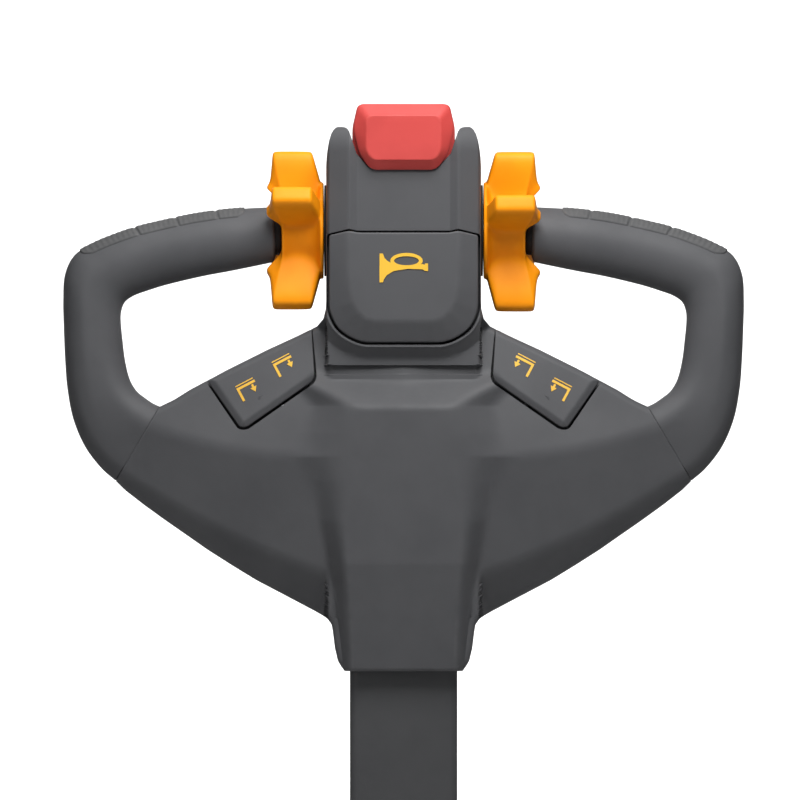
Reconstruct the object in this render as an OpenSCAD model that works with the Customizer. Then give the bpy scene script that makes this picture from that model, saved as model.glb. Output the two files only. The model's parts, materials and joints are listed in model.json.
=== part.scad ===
// Control head of an electric pallet truck's tiller, on the top of its arm.
// X is across the truck, -Y faces the operator, Z runs up the arm.
// The origin lies midway between the two fixing holes at the arm's lower end.
// Heights inside the head are measured from the neck's lower edge, neck_z above the origin.

/* [Arm] */
// Height of the neck's lower edge above the fixing holes
neck_z = 150; // [140:1:165]
// Width of the rectangular arm tube
arm_w = 60; // [58:1:60]
// Depth of the arm tube
arm_d = 40; // [36:1:42]
// Wall of the arm tube
arm_wall = 3; // [2.5:0.5:4]
// Distance from the fixing holes down to the tube's end
arm_tail = 20; // [16:1:30]
// Spacing of the two fixing holes
fix_pitch = 32; // [28:1:34]
// Diameter of a fixing hole
fix_d = 8.5; // [6.5:0.5:9]

/* [Head] */
// Wall of the moulded shells
wall = 2.8; // [2.4:0.2:3.2]
// Half width of the console
console_w = 43.2; // [43:0.1:44]
// Height of the throttle shaft
shaft_h = 246; // [245:0.5:247]
// Tilt of the wing's upper facet
facet_tilt = 14; // [13:0.5:15]
// Outward turn of the wing's upper facet
facet_yaw = 5.1; // [4.8:0.1:5.4]

/* [Grips] */
// Radius of the hand grip
grip_r = 16; // [15:0.5:16]
// Distance from the middle to the centre of the grip's upright leg
leg_x = 174.5; // [172:0.5:176]
// Fall of the grip bar, in degrees
bar_fall = 10.45; // [9:0.05:11]
// Radius of the steel rod inside a grip
rod_r = 5; // [4:0.5:6]

/* [Throttle] */
// Radius of the throttle shaft
shaft_r = 6; // [5:0.5:6]
// Radius of the wheel's flange
flange_r = 27; // [25:0.5:28]
// Reach of a thumb lobe from the shaft
lobe_r = 44; // [40:0.5:45]

/* [Buttons] */
// Height of the belly button's top
belly_top = 316; // [314:0.5:318]
// Travel of the belly button
belly_travel = 5; // [3:0.5:5]
// Gap round a moving button
button_gap = 0.9; // [0.8:0.1:1.2]

/* [Hidden] */
$fn = 48;

plastic = [0.33, 0.34, 0.36];
steel = [0.62, 0.63, 0.65];
orange = [1, 0.6, 0.02];
yellow = [0.96, 0.76, 0.24];
red = [0.86, 0.33, 0.31];
board_green = [0.07, 0.33, 0.2];
black = [0.09, 0.09, 0.1];
gold = [0.72, 0.58, 0.3];

running = 0.04;   // radial clearance of a running fit
slip = 0.2;       // clearance between parts that are assembled by hand

// Wing: its outline from the front, and the ridge and crease lines that shape its face
ridge_in = [30, -34, 118];
ridge_out = [144.2, -19, 137.2];
hand_in = [52, 190];
hand_out = [136.4, 147.5];
seam_low = [161, 105.8];
seam_mid = (hand_out + seam_low) / 2;
seam_len = norm(hand_out - seam_low);
seam_turn = atan2(seam_low[0] - hand_out[0], hand_out[1] - seam_low[1]);
wing_outline = [[30, 28], [41.4, 28], [82.6, 50.4], [109.5, 67.2], [133.6, 84], seam_low, hand_out,
    [98.8, 168], hand_in, [30, 197]];

// Console and neck
neck_top_w = 44;
console_seam = 246.5;
ear_top = 303.5;
ear_in = 29.6;
notch_floor = 281;
belly_bridge = notch_floor + belly_travel + 0.5;   // where the cap passes over the front wall
belly_skirt = notch_floor - 2;
console_front = -24;
back_y = 33;

// Rocker panels
rocker_outline = [[109.8, 160.2], [91, 136], [88.2, 136], [49.6, 162.4], [51.2, 187.6]];
rocker_mid = [75, 161.5];
rocker_long = 28.4;      // fall of the panel's long direction
rocker_rise = 1.6;       // how proud the panel stands
rocker_pin_z = -5.5;
rocker_reach = 22;       // from the pivot to each switch

// Grip path: bar, corner, upright leg and lower bend
bar_start = [73.6, 243.5];
corner_r = 20;
bend_r = 28;
corner_h = bar_start[1] - tan(bar_fall) * (leg_x - bar_start[0]);
corner_cut = corner_r * tan((90 - bar_fall) / 2);
leg_top = corner_h - corner_cut;
leg_low = 157;
bend_sweep = 90 - seam_turn;
bar_len = (leg_x - bar_start[0]) / cos(bar_fall) - corner_cut;
insert_at = 10;          // from the bar's inner end to the soft strip
insert_len = 74;

// Horn panel
horn_outline = [[0, 246], [30, 245.8], [41.5, 243], [41.5, 200], [37.2, 191.5], [30, 186],
    [22.7, 183.2], [0, 183.2]];
horn_pin_y = -29;
horn_pin_h = 238;
horn_pin_r = 1.5;

post_x = 16;
post_y = 17;
post_r = 4;

// Rear screws of the shells: x, height, back face at the head, and reach of the front boss
shell_screw_at = [[36.5, 34, 31, 31.5], [100, 80, 10.5, 14], [36, 178, 33, 22]];
cover_screw_at = [36.5, 274];

function facet_y(x, h) = ridge_in[1] + tan(facet_yaw) * (x - ridge_in[0])
    + tan(facet_tilt) / cos(facet_yaw) * (h - ridge_in[2]);

module on_neck() translate([0, 0, neck_z]) children();
module both() { children(); mirror([1, 0, 0]) children(); }
module side(left) mirror([left ? 1 : 0, 0, 0]) children();

// A shape drawn from the front, in x and height, made solid from y0 back to y1
module front_plate(y0, y1) translate([0, y1, 0]) rotate([90, 0, 0]) linear_extrude(y1 - y0) children();
// A shape drawn from the side, in y and height, made solid from x0 to x1
module side_plate(x0, x1) translate([x0, 0, 0]) rotate([90, 0, 90]) linear_extrude(x1 - x0) children();
module rod_x(x0, x1, r) translate([x0, 0, 0]) rotate([0, 90, 0]) cylinder(r = r, h = x1 - x0);
module rod_y(y0, y1, r) translate([0, y1, 0]) rotate([90, 0, 0]) cylinder(r = r, h = y1 - y0);
module tube_x(x0, x1, r_out, r_in) difference() {
    rod_x(x0, x1, r_out);
    rod_x(x0 - 1, x1 + 1, r_in);
}
module dot(p) translate(p) cube(0.02, center = true);
module half(points) polygon(concat(points, [for (i = [len(points) - 1:-1:0]) [-points[i][0], points[i][1]]]));

// A helical spring standing on Z: one wire of round section swept along the helix
coil_steps = 12;
coil_sides = 6;
module coil(r, wire, turns, length) {
    n = coil_steps * turns;
    rise = (length - 2 * wire) / n;
    points = [for (i = [0:n]) for (k = [0:coil_sides - 1]) let (
        a = 360 * i / coil_steps, b = 360 * k / coil_sides, reach = r + wire * cos(b))
        [reach * cos(a), reach * sin(a), wire + rise * i + wire * sin(b)]];
    walls = [for (i = [0:n - 1]) for (k = [0:coil_sides - 1]) let (
        p = i * coil_sides + k, q = i * coil_sides + (k + 1) % coil_sides)
        [p, q, q + coil_sides, p + coil_sides]];
    start = [for (k = [coil_sides - 1:-1:0]) k];
    end = [for (k = [0:coil_sides - 1]) n * coil_sides + k];
    polyhedron(points, concat(walls, [start, end]));
}

// A cheese-head screw along -Y, its head's seat at y = 0
module screw_y(r, length) {
    rod_y(-length, 0.01, r);
    difference() {
        rod_y(0, r * 1.3, r * 1.85);
        rod_y(r * 0.5, r * 2, r * 0.85, $fn = 6);
    }
}

// A rectangle with rounded corners
module round_rect(w, d, r) {
    square([w, d - 2 * r], center = true);
    square([w - 2 * r, d], center = true);
    for (x = [-1, 1]) for (y = [-1, 1]) translate([x * (w / 2 - r), y * (d / 2 - r)]) circle(r);
}

module arm_tube() color(plastic) difference() {
    z0 = -arm_tail;
    z1 = neck_z + 58;
    translate([0, 0, z0]) linear_extrude(z1 - z0) difference() {
        round_rect(arm_w, arm_d, 5);
        square([arm_w - 2 * arm_wall, arm_d - 2 * arm_wall], center = true);
    }
    for (x = [-1, 1]) translate([x * fix_pitch / 2, 0, 0]) rod_y(-arm_d, arm_d, fix_d / 2);
    on_neck() for (h = [20, 44]) translate([0, 0, h]) rod_y(0, arm_d, 3.1);
}

// Body of the head, shrunk inwards by t: the middle with its console, and the two wings
module centre(t) intersection() {
    front_plate(-60, 60) offset(delta = -t) half([[33, 0], [36.7, 5.6], [39.5, 22], [neck_top_w, 34],
        [46, 60], [50, 100], [57, 120], [54, 132], [46, 165], [console_w, 185], [console_w, console_seam]]);
    side_plate(-80, 80) offset(delta = -t) polygon([[-30, 0], [-33, 28], [-38, 60], [-39, 140], [-36, 150],
        [console_front, 162], [console_front, console_seam], [back_y, console_seam], [back_y, 60], [29, 0]]);
    linear_extrude(console_seam) offset(delta = -t) polygon([[-29, -40], [29, -40], [50, -24], [57, -12],
        [57, 20], [44, back_y + 1], [-44, back_y + 1], [-57, 20], [-57, -12], [-50, -24]]);
}

module wing(t) hull() {
    front_plate(-6 + t, 6 - t) offset(delta = -t) polygon(wing_outline);
    for (p = [ridge_in, [ridge_out[0] - 2.4, ridge_out[1], ridge_out[2]]]) dot(p + [-t, t, 0]);
    dot([hand_in[0] - t, facet_y(hand_in[0], hand_in[1]) + t, hand_in[1] - t]);
    dot([hand_out[0] - t, facet_y(hand_out[0], hand_out[1]) + t, hand_out[1] - t]);
    dot([30, -24 + t, 56 + t]);
    dot([152 - t, -13 + t, 106 + t]);
    dot([30, 31 - t, 116]);
    dot([143 - t, 17 - t, 132]);
}

module body(t) {
    centre(t);
    both() wing(t);
}

// Console above the seam: two ears with the belly button's slot between them
module console_top(t) intersection() {
    front_plate(-60, 60) offset(delta = -t) half([[0, console_seam - 20], [console_w, console_seam - 20],
        [console_w, 290], [41, 298], [36, ear_top], [32, 303], [30.2, 301], [26.4, 288.5], [19.6, notch_floor],
        [0, notch_floor]]);
    linear_extrude(ear_top) offset(delta = -t) polygon([[-26, -36], [26, -36], [30, -38.6], [41.4, -33.5],
        [console_w, -28], [console_w, 26], [36, back_y], [-36, back_y], [-console_w, 26],
        [-console_w, -28], [-41.4, -33.5], [-30, -38.6]]);
}

// The console's hollow, short of a wall beside the belly button's well
module console_hollow() difference() {
    console_top(wall);
    both() translate([ear_in - 0.01, -60, 270]) cube([wall, 120, 60]);
}
module belly_well() translate([-ear_in, -33.4, 269]) cube([2 * ear_in, 63.8, 60]);

module at_facet(z) translate([rocker_mid[0], facet_y(rocker_mid[0], rocker_mid[1]), rocker_mid[1]])
    rotate([90 - facet_tilt, 0, facet_yaw]) translate([0, 0, z]) children();
// A slab between two heights over the facet, cut to an outline drawn from the front
module facet_slab(z0, z1, grow) intersection() {
    front_plate(-60, 0) offset(delta = grow) polygon(rocker_outline);
    at_facet(z0) linear_extrude(z1 - z0) square(120, center = true);
}
// Turns the facet so that X runs along the panel, outwards and down
module along_rocker(z) at_facet(z) rotate([0, 0, -rocker_long]) children();

module at_seam() translate([seam_mid[0], 0, seam_mid[1]]) rotate([0, -seam_turn, 0]) children();
module tongue(grow) at_seam() translate([-24 - grow, -11 - grow, -13 - grow])
    cube([26 + grow, 14.9 + 2 * grow, 26 + 2 * grow]);

module shaft_hole(r) translate([0, 0, shaft_h]) rod_x(-60, 60, r);

module front_shell() color(plastic) on_neck() difference() {
    union() {
        intersection() {
            difference() { body(0); body(wall); }
            translate([-200, -100, 0]) cube([400, 100, 400]);
        }
        both() {
            facet_slab(-12, -0.3, 2.2);
            for (s = shell_screw_at) translate([s[0], 0, s[1]]) rod_y(-s[3], 0, 4);
        }
        translate([-24, -30.5, 233]) cube([6, 8, 8]);
        translate([18, -30.5, 233]) cube([6, 8, 8]);
    }
    both() {
        facet_slab(-9.6, 20, button_gap);
        along_rocker(rocker_pin_z) rotate([-90, 0, 0]) translate([0, 0, -15.4]) cylinder(r = 1.52, h = 30.8);
        for (s = shell_screw_at) translate([s[0], 0, s[1]]) rod_y(-13, 1, 2.02);
        tongue(slip);
        at_seam() rod_x(-26, 3, rod_r + slip);
    }
    translate([0, 0, horn_pin_h]) translate([0, horn_pin_y, 0]) rod_x(-40, 40, horn_pin_r + 0.02);
    shaft_hole(12.2);
    translate([-arm_w / 2 - slip, -arm_d / 2 - slip, -1]) cube([arm_w + 2 * slip, arm_d + 2 * slip, 6]);
}

module back_shell() color(plastic) on_neck() difference() {
    union() {
        intersection() {
            union() {
                difference() {
                    body(0);
                    body(wall);
                    translate([-console_w + wall, 0, 230]) cube([2 * (console_w - wall), back_y - wall, 30]);
                }
                difference() {
                    intersection() { console_top(0); translate([-60, 0, console_seam]) cube([120, 60, 80]); }
                    console_hollow();
                }
            }
            translate([-200, 0, 0]) cube([400, 100, 400]);
        }
        both() {
            for (s = shell_screw_at) translate([s[0], 0, s[1]]) rod_y(0, s[2] - 0.5, 4.6);
            translate([cover_screw_at[0], 0, cover_screw_at[1]]) rod_y(0, 31, 3.5);
        }
    }
    both() {
        for (s = shell_screw_at) translate([s[0], 0, s[1]]) rod_y(-1, 40, 2.1);
        for (s = shell_screw_at) translate([s[0], 0, s[1]]) rod_y(s[2] - 3, 60, 3.9);
        translate([cover_screw_at[0], 0, cover_screw_at[1]]) rod_y(-1, 60, 1.6);
        translate([cover_screw_at[0], 0, cover_screw_at[1]]) rod_y(25, 60, 3);
        tongue(slip);
        at_seam() rod_x(-26, 3, rod_r + slip);
        for (x = [-8, -18]) at_seam() translate([x, 0, 0]) rod_y(3, 12.8, 3.5);
    }
    shaft_hole(12.2);
    belly_well();
    translate([-arm_w / 2 - slip, -arm_d / 2 - slip, -1]) cube([arm_w + 2 * slip, arm_d + 2 * slip, 6]);
}

module console_cover() color(plastic) on_neck() difference() {
    union() {
        difference() {
            intersection() {
                console_top(0);
                translate([-60, -60, console_seam]) cube([120, 60 - slip, 80]);
            }
            console_hollow();
        }
        both() translate([cover_screw_at[0], 0, cover_screw_at[1]]) rod_y(-33.6, -slip, 3.5);
    }
    both() translate([cover_screw_at[0], 0, cover_screw_at[1]]) rod_y(-12, 1, 1.52);
    belly_well();
    shaft_hole(12.2);
}

// Cast frame: spigot in the arm tube, plate up the console, an arm to each grip, two bearing cheeks
module core_frame() color(steel) on_neck() difference() {
    union() {
        translate([-arm_w / 2 + arm_wall + 0.05, -arm_d / 2 + arm_wall + 0.05, -30])
            cube([arm_w - 2 * arm_wall - 0.1, arm_d - 2 * arm_wall - 0.1, 105]);
        front_plate(4, 10) half([[28, 62], [30, 92], [117, 104], [137, 118.5], [131, 134], [60, 122], [30, 125],
            [30, 222], [38, 226], [38, 262]]);
        both() {
            translate([30, -12, 226]) cube([8, 22, 36]);
            for (h = [90, 142]) translate([22, 0, h]) rod_y(9, 13, 3.5);
        }
    }
    translate([-27, 0, 216]) cube([54, 20, 60]);
    shaft_hole(8.02);
    translate([0, 0, shaft_h]) rod_x(-29.65, 29.65, 10.3);
    translate([-16, -9, -31]) cube([32, 18, 107]);
    for (h = [20, 44]) translate([0, 0, h]) rod_y(0, 40, 2.6);
    both() {
        for (x = [-8, -18]) at_seam() translate([x, 0, 0]) rod_y(0, 20, 2.2);
        at_seam() rod_x(-26, 16, rod_r + slip);
        for (h = [90, 142]) translate([22, 0, h]) rod_y(3, 20, 1.32);
    }
}

module arm_screws() color(steel) on_neck() for (h = [20, 44])
    translate([0, arm_d / 2 + 0.02, h]) screw_y(2.5, 11);

module neck_seal() color(black) on_neck() difference() {
    translate([-32.5, -26, 6]) cube([65, 51.5, 6]);
    translate([-arm_w / 2 - 0.02, -arm_d / 2 - 0.02, 5]) cube([arm_w + 0.04, arm_d + 0.04, 8]);
}

module shell_screws() color(steel) on_neck() both() for (s = shell_screw_at)
    translate([s[0], s[2] - 2.9, s[1]]) screw_y(2, s[2] + 6);

module cover_screws() color(steel) on_neck() both()
    translate([cover_screw_at[0], 25.1, cover_screw_at[1]]) screw_y(1.5, 35);

// Belly button: a cap over the console's end that slides down its slot on two posts
module belly_button() color(red) on_neck() difference() {
    union() {
        front_plate(-32.8, 29.8) half([[0, belly_skirt], [28.6, belly_skirt], [28.6, 303], [25.6, belly_top],
            [0, belly_top]]);
        intersection() {
            front_plate(-43.4, -36.8) half([[0, 279], [18, 279], [24.6, 286], [25.2, 289], [28.4, 303],
                [25.6, belly_top], [0, belly_top]]);
            side_plate(-60, 60) polygon([[-36.8, 279], [-43.4, 284], [-43.4, 310], [-39.5, belly_top],
                [-36.8, belly_top]]);
        }
        front_plate(-37, -32.7) half([[0, belly_bridge], [17, belly_bridge], [22, belly_bridge + 5], [26, 303],
            [25.6, belly_top], [0, belly_top]]);
    }
    translate([-24, -30, belly_skirt - 1]) cube([48, 56, 313 - belly_skirt]);
}
module belly_posts() color(steel) on_neck() both() translate([post_x, post_y, 0]) {
    translate([0, 0, 250]) cylinder(r = post_r, h = 62);
    translate([0, 0, 284]) cylinder(r = 7.4, h = 2);
}
module belly_guide() color(black) on_neck() difference() {
    union() {
        translate([-38, -9, 262.02]) cube([76, 35, 6]);
        both() translate([post_x, post_y, 256]) cylinder(r = 7, h = 7);
    }
    both() translate([post_x, post_y, 250]) cylinder(r = post_r + running, h = 30);
}
module belly_springs() color(steel) on_neck() both() translate([post_x, post_y, 268.1])
    coil(5.8, 0.7, 5, 15.8);
module belly_clips() color(steel) on_neck() both() translate([post_x, post_y, 254.6]) difference() {
    cylinder(r = 5.6, h = 1.2);
    translate([0, 0, -1]) cylinder(r = post_r, h = 4);
}
module belly_magnet() color(steel) on_neck() {
    translate([0, post_y, belly_bridge + 0.1]) cylinder(r = 3, h = 3);
    translate([-8.5, post_y - 4, belly_bridge + 3.1]) cube([17, 8, 308.9 - belly_bridge]);
}
module belly_sensor() color(board_green) on_neck() {
    translate([-7, post_y - 0.8, 268.04]) cube([14, 1.6, 8]);
    translate([-2, post_y - 2.2, 272.5]) cube([4, 1.5, 3]);
}

// Horn panel: a dished push panel, hinged just under its top edge
module horn_block(t) intersection() {
    front_plate(-60, 0) offset(delta = -t) half(horn_outline);
    side_plate(-60, 60) polygon([[-38.4 + t, 260], [-38.4 + t, 197], [-32 + t, 182], [-28, 182], [-24.5, 238],
        [-24.5, 260]]);
    linear_extrude(260) polygon([[-30, -39], [30, -39], [42.5 - t, -33.2 + t], [42.5 - t, 0], [-42.5 + t, 0],
        [-42.5 + t, -33.2 + t], [-30, -39]]);
}
module horn_panel() color(plastic) on_neck() difference() {
    union() {
        difference() {
            horn_block(0);
            translate([0, 0.02, 0]) horn_block(2.4);
        }
        both() translate([26, horn_pin_y, horn_pin_h]) { rod_x(0, 4, 3); translate([0, -8, -3]) cube([4, 8, 6]); }
        translate([-3, -36.2, 192]) cube([6, 3.1, 6]);
    }
    translate([0, horn_pin_y, horn_pin_h]) rod_x(-40, 40, horn_pin_r + running);
}
module horn_pin() color(steel) on_neck() translate([0, horn_pin_y, horn_pin_h]) rod_x(-31.5, 31.5, horn_pin_r);
module horn_spring() color(steel) on_neck() translate([0, console_front - 0.05, 212]) rotate([90, 0, 0])
    coil(5, 0.6, 4, 11.7);
module horn_switch() color(black) on_neck() {
    translate([-7, -29.6, 191]) cube([14, 5.5, 8]);
    translate([0, 0, 195]) rod_y(-30.4, -29.5, 1.5);
}
module horn_symbol() color(yellow) on_neck() front_plate(-38.76, -38.41) {
    translate([1.62, 228.7]) scale([1, 0.48]) difference() {
        circle(9);
        scale([1, 0.76]) circle(6.9);
    }
    polygon([[-13.4, 232.7], [-11.5, 232.7], [-10.6, 230.2], [-9.1, 228.7], [-7.6, 227.8], [-6, 227.6], [-4, 226.2],
        [1.6, 225.9], [8, 226.3], [10.6, 226.9], [11.6, 226.4], [12, 227.2], [13.6, 227.2], [13.6, 222.9],
        [11.8, 223.1], [10.5, 223.9], [2.5, 224.2], [-5.5, 223], [-9.3, 220.7], [-11, 218.2], [-11.5, 216.7],
        [-13.4, 216.7]]);
}

// Throttle: two thumb wheels on one shaft through the console
module throttle_shaft() color(steel) on_neck() difference() {
    translate([0, 0, shaft_h]) rod_x(-79.5, 79.5, shaft_r);
    both() translate([58, 0, shaft_h]) rod_y(-20, 20, 2.02);
}
module lobe_shape() {
    polygon([[-6, 10], [-13, 26], [-9, lobe_r - 1], [-7, lobe_r], [1, lobe_r], [3, lobe_r - 2], [6, 26], [16, 6]]);
    polygon([[-14, 2], [-24, 13], [-40, 14], [-43, 17], [-41, 22], [-28, 25], [-12, 24], [0, 14]]);
    polygon([[-14, -2], [-21, -14], [-19, -26], [-16, -42], [-14, -lobe_r], [-4, -lobe_r], [-1, -42], [4, -24], [15, -8]]);
    polygon([[12, 4], [24, -12], [40, -16], [42, -20], [38, -25], [22, -26], [6, -18]]);
}
module wheel(turn) color(orange) on_neck() translate([0, 0, shaft_h]) difference() {
    rotate([turn, 0, 0]) union() {
        rod_x(45.6, 48.4, flange_r);
        rod_x(48, 68, 19);
        intersection() {
            side_plate(48, 77.6) lobe_shape();
            front_plate(-50, 50) polygon([[48, -27], [52, -lobe_r - 1], [76, -lobe_r - 1], [77.6, -36],
                [77.6, 36], [76, lobe_r + 1], [52, lobe_r + 1], [48, 27]]);
        }
    }
    rod_x(68.4, 90, 22.5);
    rod_x(40, 90, shaft_r + 0.02);
    translate([58, 0, 0]) rod_y(-60, 60, 2.02);
}
module throttle_wheel_left() side(true) wheel(0);
module throttle_wheel_right() side(false) wheel(7);
module wheel_pins() color(steel) on_neck() both() translate([58, 0, shaft_h]) rod_y(-17, 17, 2);
module shaft_bushes() color(gold) on_neck() both() translate([0, 0, shaft_h]) {
    tube_x(29.6, 38.4, 8, shaft_r + running);
    tube_x(28, 29.6, 10, shaft_r + running);
}
module shaft_seals() color(black) on_neck() both() translate([0, 0, shaft_h]) tube_x(40.4, 44.4, 12, shaft_r + running);
module end_bushes() color(gold) on_neck() both() translate([0, 0, shaft_h]) tube_x(71, 80.2, 8.5, shaft_r + running);
module throttle_lever() color(black) on_neck() translate([0, 0, shaft_h]) difference() {
    union() {
        rod_x(-7, 7, 10.5);
        translate([-4, -3, -24]) cube([8, 6, 16]);
    }
    rod_x(-10, 10, shaft_r + 0.01);
    translate([0, 0, -24.5]) cylinder(r = 2.52, h = 4.5);
}
module throttle_magnet() color(steel) on_neck() translate([0, 0, shaft_h - 24.4]) cylinder(r = 2.5, h = 4.3);
module throttle_spring() color(steel) on_neck() translate([8, 0, shaft_h]) rotate([0, 90, 0]) coil(9, 0.8, 6, 18);
module hall_board() color(board_green) on_neck() {
    translate([-12, -15, 213]) cube([24, 18.9, 1.6]);
    translate([-2.5, -2, 214.5]) cube([5, 4, 1.4]);
}

module main_board() color(board_green) on_neck() difference() {
    union() {
        translate([-27, 13.05, 84]) cube([54, 1.6, 66]);
        translate([-12, 14.6, 116]) cube([14, 1.8, 14]);
        for (x = [-18, -9, 10]) translate([x, 0, 138]) rod_y(14.6, 22, 3);
        translate([8, 14.6, 100]) cube([12, 6, 9]);
    }
    both() for (h = [90, 142]) translate([22, 0, h]) rod_y(12, 16, 1.6);
}
module board_connector() color(black) on_neck() {
    translate([-16, 14.67, 86]) cube([30, 9, 10]);
    translate([-8, 20, 84.5]) cube([14, 5, 4]);
}
module board_screws() color(steel) on_neck() both() for (h = [90, 142])
    translate([22, 14.7, h]) screw_y(1.3, 9);

// Grip: bar from the throttle, corner, upright leg and bend down to the wing.
// The two arcs are a hair thinner than the straights, which run a little way into them.
module grip_path(r) {
    arc_r = r - 0.06;
    lap = 0.1;
    translate([bar_start[0], 0, bar_start[1]]) rotate([0, bar_fall, 0]) rod_x(0, bar_len + lap, r);
    translate([leg_x - corner_r, 0, leg_top]) rotate([90, 0, 0])
        rotate_extrude(angle = 90 - bar_fall) translate([corner_r, 0]) circle(arc_r);
    translate([leg_x, 0, leg_low - lap]) cylinder(r = r, h = leg_top - leg_low + 2 * lap);
    translate([leg_x - bend_r, 0, leg_low]) rotate([90, 0, 0]) rotate([0, 0, -bend_sweep])
        rotate_extrude(angle = bend_sweep) translate([bend_r, 0]) circle(arc_r);
}
module grip_insert_form(r0, r1) translate([bar_start[0], 0, bar_start[1]]) rotate([0, bar_fall, 0])
    translate([insert_at, 0, 0]) rotate([0, 90, 0]) rotate([0, 0, 138])
    rotate_extrude(angle = 84) translate([r0, 0]) square([r1 - r0, insert_len]);
module grip() color(plastic) on_neck() difference() {
    union() {
        grip_path(grip_r);
        at_seam() rotate([0, 90, 0]) linear_extrude(14) round_rect(seam_len, 35, 7);
        tongue(0);
    }
    grip_path(rod_r + slip);
    at_seam() rod_x(-26, 22, rod_r + slip);
    translate([0, 0, shaft_h]) rod_x(70, 80.4, 8.52);
    grip_insert_form(grip_r - 1.5, grip_r + 5);
    for (x = [-8, -18]) at_seam() translate([x, 0, 0]) rod_y(-10, 20, 1.8);
}
module grip_left() side(true) grip();
module grip_right() side(false) grip();

module grip_rod() color(steel) on_neck() difference() {
    union() {
        intersection() {
            grip_path(rod_r);
            translate([88, -20, 0]) cube([120, 40, 300]);
        }
        at_seam() rod_x(-23, 13.8, rod_r);
    }
    for (x = [-8, -18]) at_seam() translate([x, 0, 0]) rod_y(-10, 20, 1.8);
}
module grip_rod_left() side(true) grip_rod();
module grip_rod_right() side(false) grip_rod();
module grip_insert() color(black) on_neck() difference() {
    grip_insert_form(grip_r - 1.45, grip_r + 0.3);
    translate([bar_start[0], 0, bar_start[1]]) rotate([0, bar_fall, 0])
        for (x = [29.5, 50.5, 71]) tube_x(x, x + 1, grip_r + 2, grip_r - 0.4);
}
module grip_insert_left() side(true) grip_insert();
module grip_insert_right() side(false) grip_insert();
module grip_screws() color(steel) on_neck() both() for (x = [-8, -18]) at_seam()
    translate([x, 10.02, 0]) screw_y(1.7, 18);

// Rocker panels on the wings: each tips on a pin, one end at a time, over two switches
module rocker() color(plastic) on_neck() difference() {
    union() {
        facet_slab(-1.4, rocker_rise, 0);
        along_rocker(0) {
            translate([-4, -8, rocker_pin_z - 2.1]) cube([8, 16, 6.6]);
            for (x = [-1, 1]) translate([x * rocker_reach - 2, -2, -3.1]) cube([4, 4, 2]);
        }
    }
    along_rocker(rocker_pin_z) rotate([-90, 0, 0]) translate([0, 0, -20]) cylinder(r = 1.5 + running, h = 40);
}
module rocker_left() side(true) rocker();
module rocker_right() side(false) rocker();
// A fork carriage and an arrow: two bars, a mast at their outer end, and the arrow near the inner end
module fork_mark() {
    translate([-11.3, -1.4]) square([11.3, 1.4]);
    translate([-11, 0.9]) square([11, 0.6]);
    translate([-1.4, -8.4]) square([1.4, 8]);
    polygon([[-8.9, -6.6], [-7, -3.6], [-8.3, -3.6], [-8.3, -1.9], [-9.5, -1.9], [-9.5, -3.6], [-10.8, -3.6]]);
}
module rocker_symbols() color(yellow) on_neck() along_rocker(rocker_rise + 0.02) linear_extrude(0.3) {
    translate([18.2, 4.6]) fork_mark();
    translate([-6.1, 7.4]) fork_mark();
}
module rocker_symbols_left() side(true) rocker_symbols();
module rocker_symbols_right() side(false) rocker_symbols();
module rocker_pin() color(steel) on_neck() along_rocker(rocker_pin_z) rotate([-90, 0, 0])
    translate([0, 0, -15.3]) cylinder(r = 1.5, h = 30.6);
module rocker_pin_left() side(true) rocker_pin();
module rocker_pin_right() side(false) rocker_pin();
module rocker_board() color(board_green) on_neck() along_rocker(0)
    translate([-25, -6, -9.55]) cube([50, 12, 1.2]);
module rocker_board_left() side(true) rocker_board();
module rocker_board_right() side(false) rocker_board();
module rocker_switches() color(black) on_neck() along_rocker(0) for (x = [-1, 1]) translate([x * rocker_reach, 0, 0]) {
    translate([-3, -3, -8.3]) cube([6, 6, 2.6]);
    translate([0, 0, -5.75]) cylinder(r = 1.6, h = 0.75);
}
module rocker_switches_left() side(true) rocker_switches();
module rocker_switches_right() side(false) rocker_switches();
module rocker_springs() color(steel) on_neck() along_rocker(0) for (x = [-1, 1])
    translate([x * 13, 0, -8.3]) coil(2.2, 0.35, 4, 6.8);
module rocker_springs_left() side(true) rocker_springs();
module rocker_springs_right() side(false) rocker_springs();

arm_tube();
core_frame();
arm_screws();
front_shell();
back_shell();
neck_seal();
shell_screws();
console_cover();
cover_screws();
belly_button();
belly_posts();
belly_guide();
belly_springs();
belly_clips();
belly_magnet();
belly_sensor();
horn_panel();
horn_symbol();
horn_pin();
horn_spring();
horn_switch();
throttle_shaft();
throttle_wheel_left();
throttle_wheel_right();
wheel_pins();
shaft_bushes();
shaft_seals();
end_bushes();
throttle_lever();
throttle_magnet();
throttle_spring();
hall_board();
main_board();
board_connector();
board_screws();
grip_left();
grip_right();
grip_rod_left();
grip_rod_right();
grip_insert_left();
grip_insert_right();
grip_screws();
rocker_left();
rocker_right();
rocker_symbols_left();
rocker_symbols_right();
rocker_pin_left();
rocker_pin_right();
rocker_board_left();
rocker_board_right();
rocker_switches_left();
rocker_switches_right();
rocker_springs_left();
rocker_springs_right();
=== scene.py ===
"""Looks of a pallet truck's tiller head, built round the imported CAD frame.

Shapes are worked out in millimetres as (x, depth, height): x across the truck, depth towards the
operator (so -Y), height above the neck's lower edge. place() turns them into the frame's metres.
"""
import json

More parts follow.
